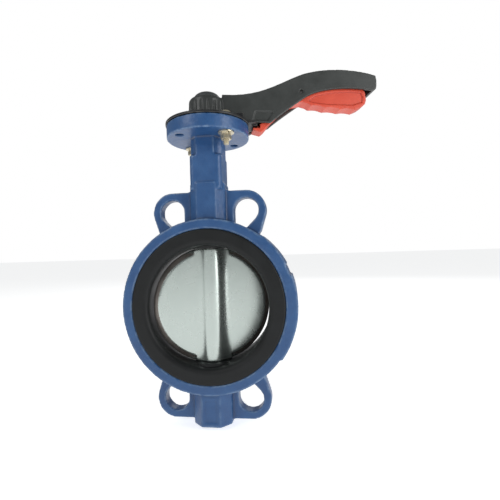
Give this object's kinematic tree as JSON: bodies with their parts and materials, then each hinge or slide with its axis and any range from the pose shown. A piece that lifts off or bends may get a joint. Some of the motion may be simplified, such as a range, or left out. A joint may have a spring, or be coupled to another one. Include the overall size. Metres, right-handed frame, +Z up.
{
  "type": "butterfly valve",
  "caption": "Wafer butterfly valve: rubber-lined ring body with bolt lugs, turning disc on a stem, and a lever handle with a squeeze trigger that locks in a notched plate.",
  "frame": {"origin": "where the pipe's axis crosses the stem's axis, in the middle of the disc and of the four lug holes", "axes": "+Z up along the stem towards the handle, Y along the pipe with -Y out of the front face, +X to the side the handle points to when the valve is shut"},
  "size_m": [0.2834, 0.1081, 0.3905],
  "materials": {
    "body_epoxy": "blue epoxy over cast iron, slightly pebbled, semi-gloss",
    "liner_rubber": "black EPDM rubber, satin, with a smoother lip",
    "disc_coating": "bright nickel plate over ductile iron, mirror-like with a slight orange peel",
    "stainless": "turned stainless steel",
    "bush_plastic": "off-white low-friction plastic",
    "bronze": "bronze thrust washer",
    "seal_rubber": "black rubber seal",
    "gasket_fibre": "red-brown fibre gasket",
    "plate_black": "black oxide plate, worn bright at the notches",
    "zinc_yellow": "yellow passivated zinc plate",
    "handle_black": "satin black powder coat over a casting",
    "cap_black": "black moulded plastic",
    "trigger_red": "orange-red gloss enamel over a casting",
    "spring_steel": "bright spring wire"
  },
  "bodies": {
    "valve": {"valve_body": "body_epoxy", "seat_liner": "liner_rubber", "upper_bush": "bush_plastic", "middle_bush": "bush_plastic", "lower_bush": "bush_plastic", "stem_o_rings": "seal_rubber", "lower_o_ring": "seal_rubber", "thrust_washer": "bronze", "bottom_plug": "zinc_yellow", "plug_gasket": "gasket_fibre", "notch_plate": "plate_black", "plate_bolts": "zinc_yellow", "bolt_washers": "zinc_yellow", "spring_washers": "zinc_yellow", "plate_nuts": "zinc_yellow"},
    "rotor": {"disc": "disc_coating", "upper_stem": "stainless", "lower_stem": "stainless", "stem_circlip": "spring_steel", "handle": "handle_black", "hub_cap": "cap_black", "handle_screw": "zinc_yellow", "screw_washer": "zinc_yellow", "trigger_pin": "stainless", "trigger_spring": "spring_steel"},
    "trigger_lever": {"trigger": "trigger_red"}
  },
  "joints": [
    {"name": "stem_turn", "type": "hinge", "parent": "valve", "child": "rotor", "pos_m": [0, 0, 0], "axis": [0, 0, 1], "range_deg": [-15, 75]},
    {"name": "trigger_squeeze", "type": "hinge", "parent": "rotor", "child": "trigger_lever", "pos_m": [0.10142, 0.02718, 0.234], "axis": [0.2588, -0.9659, 0], "range_deg": [0, 5], "stiffness_Nm_per_rad": 3.4, "springref_deg": -6.76, "deforming": ["trigger_spring"]}
  ]
}
